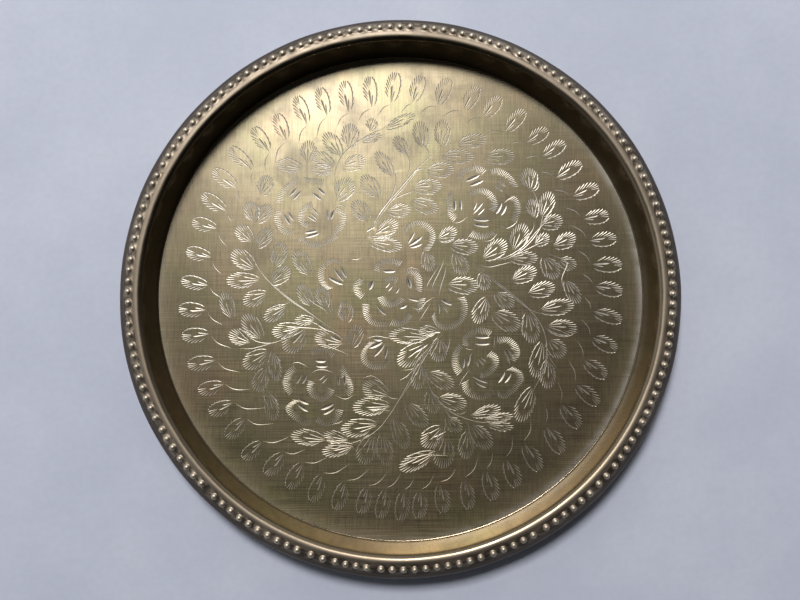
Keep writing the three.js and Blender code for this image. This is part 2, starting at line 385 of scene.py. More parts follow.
# Rows of short strokes: points along the row, then the point that its strokes run towards.
COMBS = [
    # upper left rosette
    [[(-50, 52.5), (-54, 50), (-56.8, 46), (-57.3, 42), (-55.5, 38.5), (-52, 36.5)], (-47, 44)],
    [[(-69.5, 52), (-68, 57), (-64.5, 61.5), (-60, 65), (-57, 66.5)], (-52, 50)],
    [[(-61, 33), (-66, 34), (-69, 38), (-70.5, 43), (-69, 48)], (-54, 43)],
    [[(-54, 66), (-48, 65.5), (-42, 64.5)], (-46, 52)],
    [[(-34, 49), (-30, 45), (-30, 40), (-32, 36), (-36, 32.5)], (-43, 42)],
    [[(-57, 30), (-51, 26.5), (-45, 26), (-39, 28), (-34, 31.5)], (-46, 42)],
    # first bud
    [[(-33, 20), (-38, 21), (-42, 19), (-45.5, 15), (-46, 10.5), (-44.5, 6), (-41, 3)], (-30, 5)],
    # second bud
    [
        [(2.5, 37), (5, 40.5), (10, 41.8), (15, 40.5), (18.5, 37), (20, 32.5), (18.5, 28), (16, 24)],
        (3, 26),
    ],
    # third bud
    [
        [(36, -1), (37.5, -6), (36.5, -12), (33.5, -16.5), (28.5, -19.5), (23.5, -20), (19, -17), (17, -12)],
        (22, -4),
    ],
    # fourth bud
    [
        [(-18, -26), (-21.5, -31), (-21.8, -36), (-18.5, -40), (-13, -41.5), (-8, -40), (-5.5, -36.5)],
        (-9, -26),
    ],
    # upper right rosette
    [[(38.5, 58), (42, 60), (46.5, 60), (50.5, 58), (53.5, 54), (54.5, 49.5), (52, 45.5)], (44, 50)],
    [[(31, 66), (33, 70), (38, 72.5), (44, 72.5), (48.5, 70)], (41, 62)],
    [[(50, 71), (54.5, 71.5), (59.5, 69), (63.5, 65), (66, 60.5)], (52, 60)],
    [[(60.5, 54), (64, 55.3), (66.8, 51), (67, 45.5), (64, 40)], (54, 48)],
    [[(28, 58), (25, 54.5), (25.5, 49), (26, 44), (29, 40.5)], (36, 49)],
    [[(37.5, 32), (43, 30.5), (49, 31), (53.5, 34)], (45, 41)],
    # centre rosette, inside and outside
    [[(-13, -2), (-10.5, -6), (-5.5, -7.5), (-0.5, -6), (3, -2.5)], (-4.5, 1)],
    [[(-9, 9.5), (-5, 11), (-0.5, 10)], (-4.5, 2)],
    [[(-24, 9.5), (-26.5, 5), (-25.5, 0.5), (-22, -3)], (-15, 4)],
    [[(-21.5, -5), (-21, -10.5), (-18.3, -15.5), (-13, -18), (-8, -18)], (-10, -6)],
    [[(-6, -17), (-1, -18), (4, -16), (7, -12)], (0, -6)],
    [[(-15, 14.5), (-13, 19), (-5, 20.5), (2, 19)], (-5, 10)],
    [[(4, 15), (8, 14.5), (11.5, 11), (12.5, 6), (12, 1)], (2, 5)],
    [[(14, -2), (13, -7), (10, -11)], (5, -3)],
    # lower left rosette
    [
        [(-51, -47), (-51.5, -52), (-48.5, -56.5), (-43, -58.8), (-38, -56.5), (-35.5, -52)],
        (-43.5, -49),
    ],
    [[(-59.5, -38), (-63, -42), (-64.8, -47), (-64, -51.5), (-61, -55.5)], (-53, -47)],
    [
        [(-59, -57.5), (-63, -61.5), (-61.5, -65.5), (-57, -69.5), (-52.5, -72), (-48.5, -71)],
        (-50, -59),
    ],
    [[(-46.5, -70), (-41, -72.5), (-35.5, -71), (-32.5, -67), (-30.5, -62.5)], (-41, -61)],
    [[(-31, -38), (-28.5, -43), (-26, -48), (-25.5, -53), (-28, -56.5)], (-37, -47.5)],
    [[(-49.5, -30), (-45, -28), (-40, -28.5), (-36, -31.5)], (-43, -41)],
    # lower right rosette
    [[(50.5, -30.5), (54, -34), (54, -38.5), (51.5, -42.5), (47.5, -45.5), (43, -46.5)], (44.5, -37)],
    [[(33.5, -27), (34, -22.5), (37.5, -19.5), (42.5, -17.5), (47.5, -18), (51, -20)], (43, -30)],
    [[(53.5, -22.5), (60, -23), (64.5, -27), (66, -32), (63.5, -37)], (52, -33)],
    [
        [(62, -39.5), (66.5, -42), (68, -46.5), (65.5, -50.5), (62, -54.5), (57, -57.5), (53, -56)],
        (53, -44),
    ],
    [[(33, -49), (34.5, -53.5), (39.5, -57.3), (45, -57.8), (50.5, -56)], (43, -44)],
    [[(31.5, -26.5), (28.5, -31), (27.5, -36), (28.5, -41), (31, -45)], (40, -36)],
]

# Bold flat cuts: both ends and the width.
CUTS = [
    # upper left rosette
    (-62, 54.5, -57, 60, 1.3), (-60, 52.5, -55, 58, 1.3), (-46.5, 60, -41.5, 55.5, 1.5),
    (-49, 57, -43.5, 52.5, 1.5), (-64.8, 45, -61, 38.5, 1.4), (-62.2, 46, -59.2, 41, 1.5),
    (-40.5, 47.5, -40, 41, 1.3), (-36.8, 47.5, -38.8, 41.5, 1.5), (-53.5, 34.3, -45.5, 35.8, 1.4),
    (-53, 31.8, -44.5, 34.3, 1.6), (-50.5, 46, -46, 41.5, 0.9), (-49, 48.5, -45, 44, 0.9),
    (-52, 44, -46.5, 40.5, 0.9),
    # first bud
    (-37, 15, -31, 7, 1.7), (-33, 15.5, -29.5, 9, 1.7), (-40, 9.7, -31.5, 5.5, 1.7),
    # second bud
    (4, 28, 8.2, 35.3, 1.1), (4.5, 27, 12.5, 32.5, 1.5), (5, 26, 12.2, 28.3, 1.5),
    # third bud
    (22, -2.5, 28.6, -5.8, 1.6), (22.5, -4, 26.2, -10, 1.2), (20.8, -4, 21.5, -11, 1.1),
    # fourth bud
    (-17.2, -29.6, -9.5, -25.8, 1.8), (-15, -24.2, -10, -25, 1.6), (-14.5, -34.2, -8.5, -27, 1.7),
    (-8.6, -35.5, -7.2, -28.5, 1.3),
    # upper right rosette
    (36, 63.2, 44.5, 67, 1.6), (38, 60.6, 46.5, 64, 1.7), (52, 61.5, 57.2, 57.3, 1.2),
    (54, 64.2, 58.8, 60, 1.2), (53, 44.8, 56.5, 51.3, 1.6), (55.8, 44, 59, 50, 1.6),
    (30.2, 53.3, 30.2, 46.5, 1.6), (33.4, 53.3, 33.6, 46.5, 1.4), (40, 42, 49.5, 41.4, 1.6),
    (40.2, 39.2, 49.2, 38, 1.7), (40.2, 44.8, 46.2, 51.6, 0.9), (42.8, 44.2, 46.8, 48.2, 0.9),
    (40.5, 46.8, 42.5, 51.5, 0.8),
    # centre rosette
    (-17.3, 2.5, -15, 8, 2.0), (-10, 13, -2.5, 13, 1.5), (3.8, 10, 5.8, 3.2, 2.4),
    (-13.3, -5.8, -7.8, -11.4, 1.5), (-0.5, -7.6, 3.8, -5.8, 1.3), (-8.4, 3.6, -5.6, 7, 0.9),
    (-6.8, 1.8, -4.2, 5.2, 0.9), (-2.5, 0.5, -0.5, 4, 0.8), (3.8, -2, 10.5, -3.6, 1.0),
    # lower left rosette
    (-46.8, -36.3, -40.5, -36.5, 1.7), (-46.5, -39.2, -39.8, -39.4, 1.6), (-57, -49, -54.2, -43.5, 1.4),
    (-53.8, -49, -51.2, -43.8, 1.4), (-56.2, -57, -50, -60, 1.6), (-56.4, -59.8, -50.4, -64, 1.6),
    (-43.6, -63, -36.2, -59.6, 1.7), (-42.2, -65.6, -35.6, -61.6, 1.7), (-34, -43.6, -33.8, -50, 1.5),
    (-30.6, -43.6, -30.6, -50, 1.5), (-44.6, -47, -41, -43.8, 0.9), (-43, -48.8, -39.8, -45, 0.9),
    # lower right rosette
    (41, -23.3, 49.2, -23.3, 1.5), (40.8, -27, 49.2, -27, 1.5), (56.6, -30, 60.2, -38.5, 1.2),
    (59, -30, 62.5, -36, 1.1), (53.5, -48.5, 57.5, -42, 1.5), (57, -48.5, 60.8, -43, 1.5),
    (39.2, -44.8, 48, -48.6, 1.3), (40.8, -47.6, 47, -51, 1.5), (34.8, -34.4, 34.4, -40.6, 1.5),
    (38.2, -32.5, 36.8, -39.5, 1.4), (41, -36, 43.2, -40, 0.9), (42.5, -34.8, 46.2, -39.2, 0.9),
    (44, -34, 47.2, -37, 0.8),
    # single cuts among the sprays
    (7, -32.2, 15.5, -27, 1.1), (-46, -16.2, -39.5, -19.8, 1.0), (-39, -23, -32.2, -25.8, 0.9),
    (-17.5, -62.8, -10, -62.2, 1.1), (18, -20.4, 22, -20.6, 1.0), (-59, -26.8, -54, -21, 0.9),
    (-19.3, 35, -14, 38, 0.8), (-14, 33.8, -10, 36, 0.9), (10, -88.5, 0, -93, 0.8),
    (27.8, -68, 24, -62, 0.9), (25, -74.5, 17.5, -78, 0.9), (23.2, -88, 24.5, -80, 0.9),
]

# Plain scratched outlines that close the petals and the larger leaves.
OUTLINES = [
    [(-38, 50), (-33, 50), (-29, 47)],
    [(-26.8, 62), (-26.5, 57), (-30, 54), (-35, 52)],
    [(-63, 24), (-64.5, 20), (-67, 17.5), (-70, 15.5)],
    [(29, 40), (33, 40.5), (37.5, 43.5)],
    [(52, 39.5), (56, 38), (59, 37), (64, 40), (66, 44)],
    [(44, 30), (50, 30.3), (54, 34.5)],
    [(-50, -45), (-47, -41.7), (-42, -41), (-36, -43)],
    [(-60, -38), (-56, -37), (-50, -40)],
    [(-36, -55), (-30, -57), (-25, -54.5)],
    [(-38, -71), (-32, -69), (-30.5, -64)],
    [(-19, -24), (-13, -22.6), (-8, -23.5), (-3, -24)],
    [(40, -31), (37, -36), (37, -41), (41, -44)],
    [(51.3, -22), (51.6, -26), (51, -30)],
    [(38, -41), (34, -46), (31.5, -51)],
    [(49, -50), (51, -54), (53, -56.5)],
    [(34, -27), (36, -29.5), (40, -30.3)],
    [(3, 14), (6, 15.2), (9, 14.5), (12, 11)],
    [(-47, -28), (-42, -27.2), (-35, -30), (-27, -33.5)],
    [(-21, -46), (-16, -44.3), (-11, -47), (-7.5, -51), (-5, -55)],
    [(76.5, 65), (77, 61.5), (75, 58.3), (70.5, 57.8)],
]


# ---- Curves and cuts on the floor ----

dice = random.Random(11)


def smooth_line(points, step):
    """Points about step apart along a smooth curve through the given ones (Catmull-Rom)."""
    if len(points) < 3:
        return [Vector(p) for p in points]
    path = [Vector(p) for p in points]
    path = [path[0] * 2 - path[1]] + path + [path[-1] * 2 - path[-2]]
    line = [path[1]]
    for a, b, c, d in zip(path, path[1:], path[2:], path[3:]):
        count = max(1, round((c - b).length / step))
        for i in range(1, count + 1):
            t = i / count
            bend = (2 * a - 5 * b + 4 * c - d) * t * t
            twist = (3 * b - a - 3 * c + d) * t * t * t
            line.append(0.5 * (2 * b + (c - a) * t + bend + twist))
    return line


def along(line, pitch):
    """Points exactly pitch apart along a line of points."""
    places = [line[0]]
    left = pitch
    for a, b in zip(line, line[1:]):
        length = (b - a).length
        done = 0.0
        while length - done >= left:
            done += left
            places.append(a.lerp(b, done / length))
            left = pitch
        left -= length - done
    return places


class Cuts:
    """All the cuts in the floor. Each one is a chain of points with a half width at each point."""

    def __init__(self):
        self.chains = []

    def chain(self, points, halves):
        self.chains.append(([Vector(p) for p in points], halves))

    def stroke(self, head, tail, width=STROKE_W):
        """One blow of the chisel: broad near its head, drawn out to its tail."""
        head = Vector(head)
        tail = Vector(tail)
        half = width / 2
        points = [head, head.lerp(tail, 0.18), head.lerp(tail, 0.62), tail]
        self.chain(points, [0, half, 0.72 * half, 0])

    def bold(self, start, end, width):
        """A broad flat cut with a point at each end."""
        start = Vector(start)
        end = Vector(end)
        half = 0.65 * width
        points = [start.lerp(end, t) for t in (0, 0.22, 0.5, 0.78, 1)]
        self.chain(points, [0, 0.8 * half, half, 0.8 * half, 0])

    def line(self, points, width, step=2.2):
        """A long smooth cut that swells from a point and runs out to a point."""
        path = smooth_line(points, step)
        last = len(path) - 1
        halves = []
        for i in range(last + 1):
            swell = min(1.0, 2.5 * i / last, 2.5 * (last - i) / last)
            halves.append(width / 2 * swell * (1 + 0.12 * math.sin(1.7 * i)))
        halves[0] = 0
        halves[-1] = 0
        self.chain(path, halves)

    def comb(self, points, focus):
        """A row of short strokes with their heads on a line, all running towards one point."""
        focus = Vector(focus)
        for place in along(smooth_line(points, 1.0), COMB_PITCH):
            run = (focus - place).normalized()
            reach = COMB_LENGTH * dice.uniform(0.88, 1.12)
            self.stroke(place, place + run * reach, COMB_W)


def leaf(cuts, base, tip, width, fan):
    """A feathered leaf: a comb round its tip and left side, overlapping strokes down its right side.

    A leaf of the ring has slanting strokes that stay nearly parallel. A fan's run towards its foot.
    """
    base = Vector(base)
    tip = Vector(tip)
    axis = tip - base
    length = axis.length
    axis.normalize()
    across = Vector((-axis.y, axis.x))

    def place(along_share, across_share):
        return base + axis * (along_share * length) + across * (across_share * width / 2)

    def edge(turn):
        """The outline, from 0 at the tip to 180 degrees at the foot, positive on the left side."""
        ahead = math.cos(math.radians(turn))
        reach = (1 - LEAF_BELLY) if ahead > 0 else LEAF_BELLY
        return place(LEAF_BELLY + reach * ahead, math.sin(math.radians(turn)))

    def stroke_run(turn, start):
        if fan:
            return (place(0.05, 0) - start).normalized()
        lean = math.radians(LEAF_LEAN) * math.sin(math.radians(min(turn, 90)))
        return -axis * math.cos(lean) - across * math.sin(lean)

    # The turns where the comb starts and ends, and where the strokes of the right side start.
    comb_start, comb_end, side_start = (-62, 118, -74) if fan else (-16, 112, -26)
    turn = comb_start
    gap = 0.0
    while turn < comb_end:
        start = edge(turn)
        run = stroke_run(turn, start)
        if gap <= 0:
            shift = Vector((dice.uniform(-0.1, 0.1), dice.uniform(-0.1, 0.1)))
            reach = dice.uniform(*LEAF_STROKE) * min(1.0, length / FULL_LEAF)
            cuts.stroke(start + shift, start + shift + run * reach)
            gap = LEAF_PITCH
        step = edge(turn + 2) - start
        gap -= max(abs(step.cross(run)), 0.62 * step.length)
        turn += 2
    for turn in range(side_start, -140, -19):
        cuts.stroke(edge(turn) - across * 0.15, edge(turn - 30) + across * 0.35, LEAF_SIDE_W)
    if fan:
        cuts.stroke(place(0.66, 0.05), place(0.02, 0), 0.9)
        cuts.stroke(place(0.52, 0.5), place(0.04, 0.08), 0.75)
        cuts.stroke(place(0.52, -0.5), place(0.04, -0.08), 0.75)
    else:
        cuts.stroke(place(0.60, 0.12), place(0.02, 0), 1.2)
        cuts.stroke(place(0.42, -0.30), place(0.04, -0.05), 0.75)


def curved_stem(cuts, base, end):
    """The stem of a ring leaf: out of the leaf's foot and round, bowed away from the tray's centre."""
    base = Vector(base)
    end = Vector(end)
    middle = base.lerp(end, 0.5)
    bow = middle.normalized() * (0.16 * (end - base).length)
    cuts.line([base, middle + bow, end], RING_STEM_W, 1.8)


def chased_pattern():
    cuts = Cuts()
    for base_x, base_y, tip_x, tip_y, width, end_x, end_y in RING_LEAVES:
        leaf(cuts, (base_x, base_y), (tip_x, tip_y), width, False)
        curved_stem(cuts, (base_x, base_y), (end_x, end_y))
    for base_x, base_y, tip_x, tip_y, width in SPRAY_LEAVES:
        leaf(cuts, (base_x, base_y), (tip_x, tip_y), width, True)
    for points in STEMS:
        cuts.line(points, STEM_W)
    for points in OUTLINES:
        cuts.line(points, OUTLINE_W)
    for points, focus in COMBS:
        cuts.comb(points, focus)
    for x0, y0, x1, y1, width in CUTS:
        cuts.bold((x0, y0), (x1, y1), width)
    return cuts


class DepthMap:
    """How deep the floor is cut at a point: the deepest of the cuts that cover it."""

    CELL = 2.0

    def __init__(self, cuts):
        self.cells = {}
        for points, halves in cuts.chains:
            for a, b, half_a, half_b in zip(points, points[1:], halves, halves[1:]):
                widest = max(half_a, half_b)
                low = self.cell(min(a.x, b.x) - widest, min(a.y, b.y) - widest)
                high = self.cell(max(a.x, b.x) + widest, max(a.y, b.y) + widest)
                for cx in range(low[0], high[0] + 1):
                    for cy in range(low[1], high[1] + 1):
                        self.cells.setdefault((cx, cy), []).append((a, b, half_a, half_b))

    def cell(self, x, y):
        return math.floor(x / self.CELL), math.floor(y / self.CELL)

    def half_width_left(self, x, y):
        """Half width minus the distance from the centre line, for the cut that goes deepest here."""
        best = 0.0
        for a, b, half_a, half_b in self.cells.get(self.cell(x, y), ()):
            run_x = b.x - a.x
            run_y = b.y - a.y
            length = math.hypot(run_x, run_y)
            if length < 1e-9:
                continue
            share = ((x - a.x) * run_x + (y - a.y) * run_y) / (length * length)
            if share < -1e-6 or share > 1 + 1e-6:
                continue
            offset = abs((x - a.x) * run_y - (y - a.y) * run_x) / length
            left = half_a + (half_b - half_a) * share - offset
            if left > best:
                best = left
        return best


# ---- The sheet's profile ----

CONVEX = 1
CONCAVE = -1


def turn_point(arc, slope):
    """A point of a bend: r, z and the sheet's slope there in degrees."""
    centre_r, centre_z, radius, side = arc
    a = math.radians(slope)
    return (centre_r - side * radius * math.sin(a), centre_z + side * radius * math.cos(a), slope)


# Each bend is an arc of the middle of the sheet: r and z of its centre, its radius and its side.
RIDGE_R = RIM_R - FLANGE_WIDTH
RIDGE_CENTRE_Z = RIDGE_TOP - SHEET / 2 - RIDGE_FILLET
RIDGE_ARC = (RIDGE_R, RIDGE_CENTRE_Z, RIDGE_FILLET, CONVEX)
ROLL_BEND = RIM_R - ROLL_R - SHEET / 2
ROLL_ARC = (ROLL_R, ROLL_Z, ROLL_BEND, CONVEX)
FLANGE_A = math.radians(FLANGE_START)
FLANGE_B = math.radians(FLANGE_END)
FLANGE_START_R = RIDGE_R + RIDGE_FILLET * math.sin(FLANGE_A)
FLANGE_END_R = ROLL_R + ROLL_BEND * math.sin(FLANGE_B)
FLANGE_BEND = (FLANGE_END_R - FLANGE_START_R) / (math.sin(FLANGE_B) - math.sin(FLANGE_A))
FLANGE_CENTRE_R = FLANGE_START_R - FLANGE_BEND * math.sin(FLANGE_A)
FLANGE_CENTRE_Z = RIDGE_CENTRE_Z + (RIDGE_FILLET - FLANGE_BEND) * math.cos(FLANGE_A)
FLANGE_ARC = (FLANGE_CENTRE_R, FLANGE_CENTRE_Z, FLANGE_BEND, CONVEX)
WALL_TOP = turn_point(RIDGE_ARC, WALL_ANGLE)
WALL_FOOT_Z = SHEET / 2 + FLOOR_FILLET * (1 - math.cos(math.radians(WALL_ANGLE)))
WALL_FOOT_R = WALL_TOP[0] - (WALL_TOP[1] - WALL_FOOT_Z) / math.tan(math.radians(WALL_ANGLE))
FLOOR_R = WALL_FOOT_R - FLOOR_FILLET * math.sin(math.radians(WALL_ANGLE))
FLOOR_ARC = (FLOOR_R, SHEET / 2 + FLOOR_FILLET, FLOOR_FILLET, CONCAVE)

# The bead band is the part of the flange that carries the row, with a plain margin on both sides.
BEAD_R = RIDGE_R + BEAD_FROM_RIDGE
BAND_MARGIN = 0.75


def flange_slope(radius):
    """Degrees below level at a radius on the flange's upper face."""
    return math.degrees(math.asin((radius - FLANGE_CENTRE_R) / (FLANGE_BEND + SHEET / 2)))


BAND_IN = -flange_slope(BEAD_R - BEAD_D / 2 - BAND_MARGIN)
BAND_OUT = -flange_slope(BEAD_R + BEAD_D / 2 + BAND_MARGIN)


def bend_points(arc, start, end, steps):
    """Points along a bend between two slopes in degrees."""
    return [turn_point(arc, start + (end - start) * i / steps) for i in range(steps + 1)]


def line_points(start, end, steps):
    return [tuple(a + (b - a) * i / steps for a, b in zip(start, end)) for i in range(steps + 1)]


def inner_half(foot_steps, wall_steps, ridge_steps):
    """Middle of the sheet from the floor's edge to the bead band."""
    foot = bend_points(FLOOR_ARC, 0, WALL_ANGLE, foot_steps)
    wall = line_points(foot[-1], WALL_TOP, wall_steps)
    ridge = bend_points(RIDGE_ARC, WALL_ANGLE, -FLANGE_START, ridge_steps)
    flange = bend_points(FLANGE_ARC, -FLANGE_START, BAND_IN, 3)
    return foot + wall[1:-1] + ridge + flange[1:]


def outer_half(roll_steps):
    """Middle of the sheet from the bead band to the tucked end of the roll."""
    flange = bend_points(FLANGE_ARC, BAND_OUT, -FLANGE_END, 5)
    roll = bend_points(ROLL_ARC, -FLANGE_END, -FLANGE_END - ROLL_TURN, roll_steps)
    return flange + roll[1:]


def offset(points, side):
    """Points moved half a sheet to the upper face (side 1) or the lower face (side -1)."""
    moved = []
    for r, z, slope in points:
        a = math.radians(slope)
        moved.append((r - side * SHEET / 2 * math.sin(a), z + side * SHEET / 2 * math.cos(a)))
    return moved


# ---- Mesh building ----


def column_place(r, column):
    """Where one of the evenly spaced columns stands on a circle round the tray's axis."""
    a = math.radians(SEAM_ANGLE) + 2 * math.pi * column / COLUMNS
    return r * math.cos(a), r * math.sin(a)


class Sheet:
    """Vertices in millimetres and faces of one closed surface.

    Each vertex also has two shares from 0 to 1: how deep it lies in a cut, and how high on a bead
    (0 at a bead's foot, and 0.5 away from the beads).
    """

    def __init__(self):
        self.places = []
        self.cut = []
        self.crown = []
        self.faces = []

    def vertex(self, x, y, z, cut=0.0, crown=0.5):
        self.places.append((x, y, z))
        self.cut.append(cut)
        self.crown.append(crown)
        return len(self.places) - 1

    def ring(self, r, z):
        """One turn of vertices. Returns the number of its first."""
        start = len(self.places)
        for i in range(COLUMNS):
            self.vertex(*column_place(r, i), z)
        return start

    def join(self, inner, outer):
        """Faces between two rings, facing up when the second ring is the larger."""
        for i in range(COLUMNS):
            j = (i + 1) % COLUMNS
            self.faces.append((inner + i, outer + i, outer + j, inner + j))

    def lathe(self, profile):
        """The surface of a profile turned round the axis. Returns its last ring."""
        rings = [self.ring(r, z) for r, z in profile]
        for inner, outer in zip(rings, rings[1:]):
            self.join(inner, outer)
        return rings[-1]

    def fill(self, points, edges, make_vertex, clockwise):
        """Triangles that fill an outline and keep every edge inside it, wound as asked."""
        found, _, triangles, *_ = delaunay_2d_cdt(points, edges, [], 1, 1e-5)
        start = len(self.places)
        for p in found:
            make_vertex(p)
        for a, b, c in triangles:
            turned = (found[b] - found[a]).cross(found[c] - found[a])
            if (turned < 0) != clockwise:
                b, c = c, b
            self.faces.append((start + a, start + b, start + c))


def add_floor(sheet, cuts):
    """The floor's upper face, triangulated round every cut, with each cut sunk to its depth."""
    points = [Vector(column_place(FLOOR_R, i)) for i in range(COLUMNS)]
    edges = [(i, (i + 1) % COLUMNS) for i in range(COLUMNS)]
    for r in DISH_RINGS:
        points.extend(Vector(column_place(r, i)) for i in range(0, COLUMNS, 2))
    for chain, halves in cuts.chains:
        add_chain(points, edges, chain, halves)
    depth = DepthMap(cuts)

    def sunk(p):
        """A vertex at its place in the floor, lower where a cut passes."""
        left = depth.half_width_left(p.x, p.y)
        sheet.vertex(p.x, p.y, SHEET - CUT_SLOPE * left, min(1.0, left / DEEP_CUT))

    sheet.fill(points, edges, sunk, False)


def add_chain(points, edges, chain, halves):
    """A cut's centre line and its two sides, as points and edges for the triangulation."""
    last = len(chain) - 1
    middle = len(points)
    points.extend(chain)
    edges.extend((middle + i, middle + i + 1) for i in range(last))
    for side in (1, -1):
        before = middle
        for i in range(1, last):
            run = (chain[i + 1] - chain[i - 1]).normalized()
            points.append(chain[i] + Vector((-run.y, run.x)) * (side * halves[i]))
            edges.append((before, len(points) - 1))
            before = len(points) - 1
        edges.append((before, middle + last))


def punched_beads(height):
    """Each bead's centre on the flattened band, its radius and its height, a little uneven."""
    for first, last, count, share in BEAD_RUNS:
        for i in range(count):
            angle = first + (last - first) * i / (count - 1)
            turn = (math.radians(angle) - math.radians(SEAM_ANGLE)) % (2 * math.pi)
            centre = Vector((BEAD_R * turn, 0.12 * math.sin(angle * 1.37)))
            radius = share * BEAD_D / 2 * (1 + 0.05 * math.sin(angle * 2.11))
            yield centre, radius, share * height * (1 + 0.06 * math.sin(angle * 3.3))


# Rings of a bead: their distance from its centre and their height, as shares of its radius and height.
BEAD_RINGS = [(1.14, 0.0), (0.97, 0.12), (0.80, 0.48), (0.55, 0.81), (0.28, 0.96)]
BEAD_SIDES = 14
DIMPLE_RINGS = [(0.92, 0.0), (0.68, 0.4), (0.36, 0.85)]
DIMPLE_SIDES = 10
BAND_ROWS = 4  # rows of faces across the band at its seam


def add_band(sheet, side, rings, height, sides):
    """The beaded part of the flange: its upper face (side 1) or its lower face (side -1).

    It is laid out flat: x is the distance round the bead circle, y the distance across the flange.
    """
    bend = FLANGE_BEND + side * SHEET / 2
    low = math.radians(-BAND_IN)
    high = math.radians(-BAND_OUT)
    mid = math.asin((BEAD_R - FLANGE_CENTRE_R) / (FLANGE_BEND + SHEET / 2))
    once_round = BEAD_R * 2 * math.pi
    points = []
    edges = []

    def add_line(places):
        first = len(points)
        points.extend(Vector(p) for p in places)
        edges.extend((i, i + 1) for i in range(first, len(points) - 1))

    for tilt in (low, high):
        add_line((once_round * i / COLUMNS, bend * (tilt - mid)) for i in range(COLUMNS + 1))
    tilts = [low + (high - low) * row / BAND_ROWS for row in range(BAND_ROWS + 1)]
    for x in (0, once_round):
        add_line((x, bend * (tilt - mid)) for tilt in tilts)
    beads = list(punched_beads(height))
    for centre, radius, _ in beads:
        points.append(centre)
        for reach, _ in rings:
            first = len(points)
            for k in range(sides):
                a = 2 * math.pi * k / sides
                points.append(centre + Vector((math.cos(a), math.sin(a))) * (radius * reach))
                edges.append((first + k, first + (k + 1) % sides))
    beads.sort(key=lambda bead: bead[0].x)

    def lifted(p):
        """A vertex at its place on the flange, higher on a bead."""
        lift = bead_lift(p, beads, rings)
        tilt = mid + p.y / bend
        r = FLANGE_CENTRE_R + (bend + lift) * math.sin(tilt)
        z = FLANGE_CENTRE_Z + (bend + lift) * math.cos(tilt)
        a = math.radians(SEAM_ANGLE) + p.x / BEAD_R
        crown = 0.3 + 0.7 * lift / height if lift > 0 else 0.0
        sheet.vertex(r * math.cos(a), r * math.sin(a), z, 0.0, min(1.0, crown))

    # Flattened x runs anticlockwise and y outwards, so the upper face is the clockwise one here.
    sheet.fill(points, edges, lifted, side > 0)


def bead_lift(p, beads, rings):
    """Height of the row's beads above the flange at a flattened place."""
    low = 0
    high = len(beads)
    while low < high:
        half = (low + high) // 2
        if beads[half][0].x < p.x - BEAD_D:
            low = half + 1
        else:
            high = half
    lift = 0.0
    while low < len(beads) and beads[low][0].x < p.x + BEAD_D:
        centre, radius, height = beads[low]
        share = (p - centre).length / radius
        lift = max(lift, height * dome(share, rings))
        low += 1
    return lift


def dome(share, rings):
    """Height share at a distance share, straight between the bead's rings."""
    outer = rings[0]
    if share >= outer[0]:
        return 0.0
    for inner in rings[1:] + [(0.0, 1.0)]:
        if share >= inner[0]:
            t = (share - inner[0]) / (outer[0] - inner[0])
            return inner[1] + (outer[1] - inner[1]) * t
        outer = inner
    return 1.0


def hand_made(x, y, z):
    """The sheet's slow unevenness: a slight lift of the floor's margin, and waves in the rim."""
    r = math.hypot(x, y)
    a = math.atan2(y, x)
    lift = 0.0
    if r > DISH_START_R:
        share = min(1.0, (r - DISH_START_R) / (FLOOR_R - DISH_START_R))
        lift = DISH_LIFT * share * share * max(0.0, 1 - max(0.0, z - 3) / 14)
    rim = max(0.0, min(1.0, (r - DISH_START_R) / (RIM_R - DISH_START_R)))
    floor_wave = 0.085 + 0.05 * math.sin(x / 19 + 0.7) * math.sin(y / 23 - 0.4)
    floor_wave += 0.035 * math.sin((x + 2 * y) / 21)
    rim_wave = 0.10 * math.sin(3 * a + 0.5) + 0.06 * math.sin(7 * a + 1.9) + 0.035 * math.sin(17 * a)
    out = rim * (0.16 * math.sin(2 * a + 1) + 0.07 * math.sin(9 * a + 2) + 0.05 * math.sin(23 * a + 1))
    grow = 1 + out / max(r, 1.0)
    lift += (1 - rim) * floor_wave * min(1.0, (RIM_R - r) / 60) + rim * rim_wave
    return x * grow, y * grow, z + lift


def tray_sheet():
    sheet = Sheet()
    add_floor(sheet, chased_pattern())
    sheet.lathe(offset(inner_half(7, 6, 8), 1))
    add_band(sheet, 1, BEAD_RINGS, BEAD_H, BEAD_SIDES)
    upper = offset(outer_half(16), 1)
    lower = offset(outer_half(9), -1)
    # Over the flange, round the roll, across the cut edge of the sheet, and back inside the roll.
    sheet.lathe(upper + lower[::-1])
    add_band(sheet, -1, DIMPLE_RINGS, 0.8 * BEAD_H, DIMPLE_SIDES)
    under = offset(inner_half(4, 3, 5), -1)[::-1]
    floor = [(r, 0.0) for r in (126.0, 121.0, 95.0, 60.0, 25.0)]
    last = sheet.lathe(under + floor)
    hub = sheet.vertex(0, 0, 0)
    for i in range(COLUMNS):
        sheet.faces.append((last + i, hub, last + (i + 1) % COLUMNS))
    return sheet


def mesh_object(name, sheet):
    places = [tuple(c * MM for c in hand_made(*p)) for p in sheet.places]
    mesh = bpy.data.meshes.new(name)
    mesh.from_pydata(places, [], sheet.faces)
    mesh.attributes.new("cut", "FLOAT", "POINT").data.foreach_set("value", sheet.cut)
    mesh.attributes.new("crown", "FLOAT", "POINT").data.foreach_set("value", sheet.crown)
    piece = bpy.data.objects.new(name, mesh)
    bpy.context.scene.collection.objects.link(piece)
    finish_surface(mesh)
    return piece


